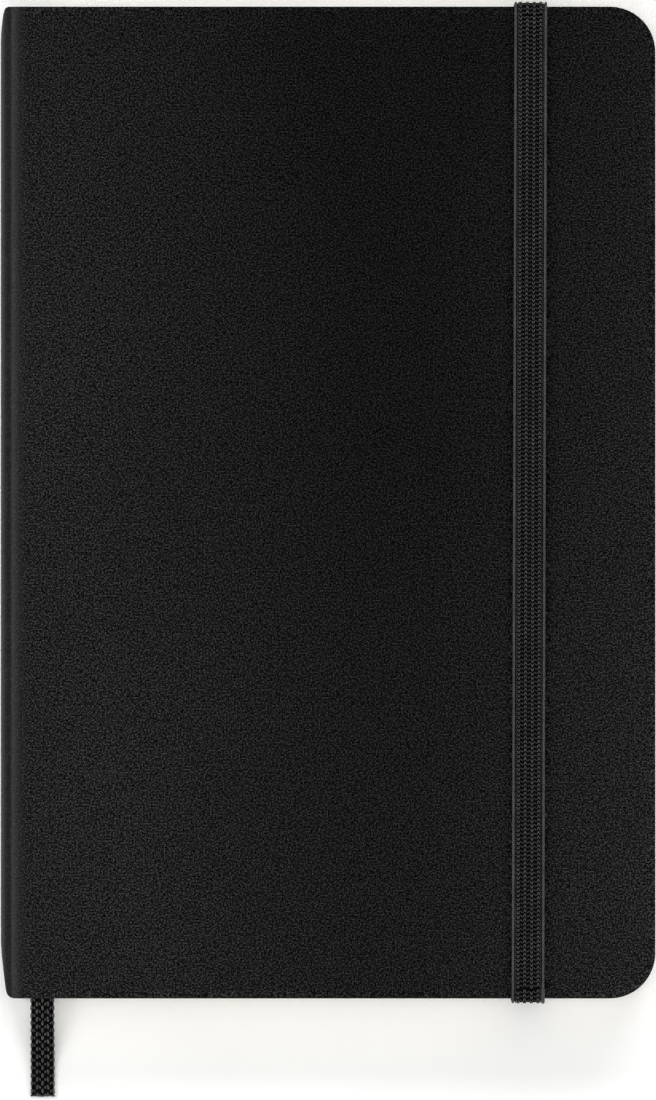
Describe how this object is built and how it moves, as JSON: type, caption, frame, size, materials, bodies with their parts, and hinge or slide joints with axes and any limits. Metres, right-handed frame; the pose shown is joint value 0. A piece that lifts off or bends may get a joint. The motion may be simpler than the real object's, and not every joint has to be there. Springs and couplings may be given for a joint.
{
  "type": "soft-cover pocket notebook",
  "caption": "Soft-cover sewn pocket notebook with an elastic closure, a ribbon marker and a back pocket. It opens at both covers and at the middle.",
  "frame": {"origin": "centre of the back cover's outer face, under the middle of the closed notebook", "axes": "+Z out of the front cover, +Y towards the head, +X from the spine towards the fore-edge"},
  "size_m": [0.0924, 0.1551, 0.0132],
  "materials": {
    "cover_skin": "matte",
    "cover_card": "matte",
    "endpaper": "matte",
    "page_paper": "matte",
    "cloth": "matte",
    "thread": "matte",
    "ribbon": "satin",
    "elastic": "matte"
  },
  "bodies": {
    "back_cover": {"back_cover_skin": "cover_skin", "back_cover_board": "cover_card", "back_pastedown": "endpaper", "pocket_back_panel": "endpaper", "elastic_head_anchor": "elastic", "elastic_tail_anchor": "elastic"},
    "pocket_panel": {"pocket_front_panel": "endpaper", "pocket_gusset_head": "cloth", "pocket_gusset_tail": "cloth"},
    "back_leaves": {"back_flyleaf": "endpaper", "section_12": "page_paper", "section_11": "page_paper", "section_10": "page_paper", "section_09": "page_paper", "section_08": "page_paper", "section_07": "page_paper", "sewing_thread_back": "thread", "spine_lining": "cloth", "spine_skin": "cover_skin", "ribbon_marker": "ribbon"},
    "front_leaves": {"section_06": "page_paper", "section_05": "page_paper", "section_04": "page_paper", "section_03": "page_paper", "section_02": "page_paper", "section_01": "page_paper", "sewing_thread_front": "thread", "front_flyleaf": "endpaper"},
    "front_cover": {"front_pastedown": "endpaper", "front_cover_board": "cover_card", "front_cover_skin": "cover_skin"},
    "elastic_loop": {"elastic_front_strand": "elastic", "elastic_head_strand": "elastic", "elastic_tail_strand": "elastic"}
  },
  "joints": [
    {"name": "back_cover_hinge", "type": "hinge", "parent": "back_cover", "child": "back_leaves", "pos_m": [-0.045, 0, -0.0001], "axis": [0, -1, 0], "range_deg": [0, 180]},
    {"name": "middle_hinge", "type": "hinge", "parent": "back_leaves", "child": "front_leaves", "pos_m": [-0.045, 0, 0.00618], "axis": [0, -1, 0], "range_deg": [0, 180], "deforming": ["spine_skin", "spine_lining"]},
    {"name": "front_cover_hinge", "type": "hinge", "parent": "front_leaves", "child": "front_cover", "pos_m": [-0.045, 0, 0.01246], "axis": [0, -1, 0], "range_deg": [0, 180]},
    {"name": "pocket_hinge", "type": "hinge", "parent": "back_cover", "child": "pocket_panel", "pos_m": [0.0451, 0, 0.00139], "axis": [0, 1, 0], "range_deg": [0, 13], "deforming": ["pocket_gusset_head", "pocket_gusset_tail"]},
    {"name": "elastic_release", "type": "slide", "parent": "back_cover", "child": "elastic_loop", "axis": [0.7824, 0, 0.6228], "range_m": [0, 0.033], "stiffness_N_per_m": 40, "springref_m": -0.01, "deforming": ["elastic_front_strand", "elastic_head_strand", "elastic_tail_strand"]}
  ],
  "couplings": [
    {"joint": "pocket_hinge", "follows": "back_cover_hinge", "ratio": 0.07}
  ]
}
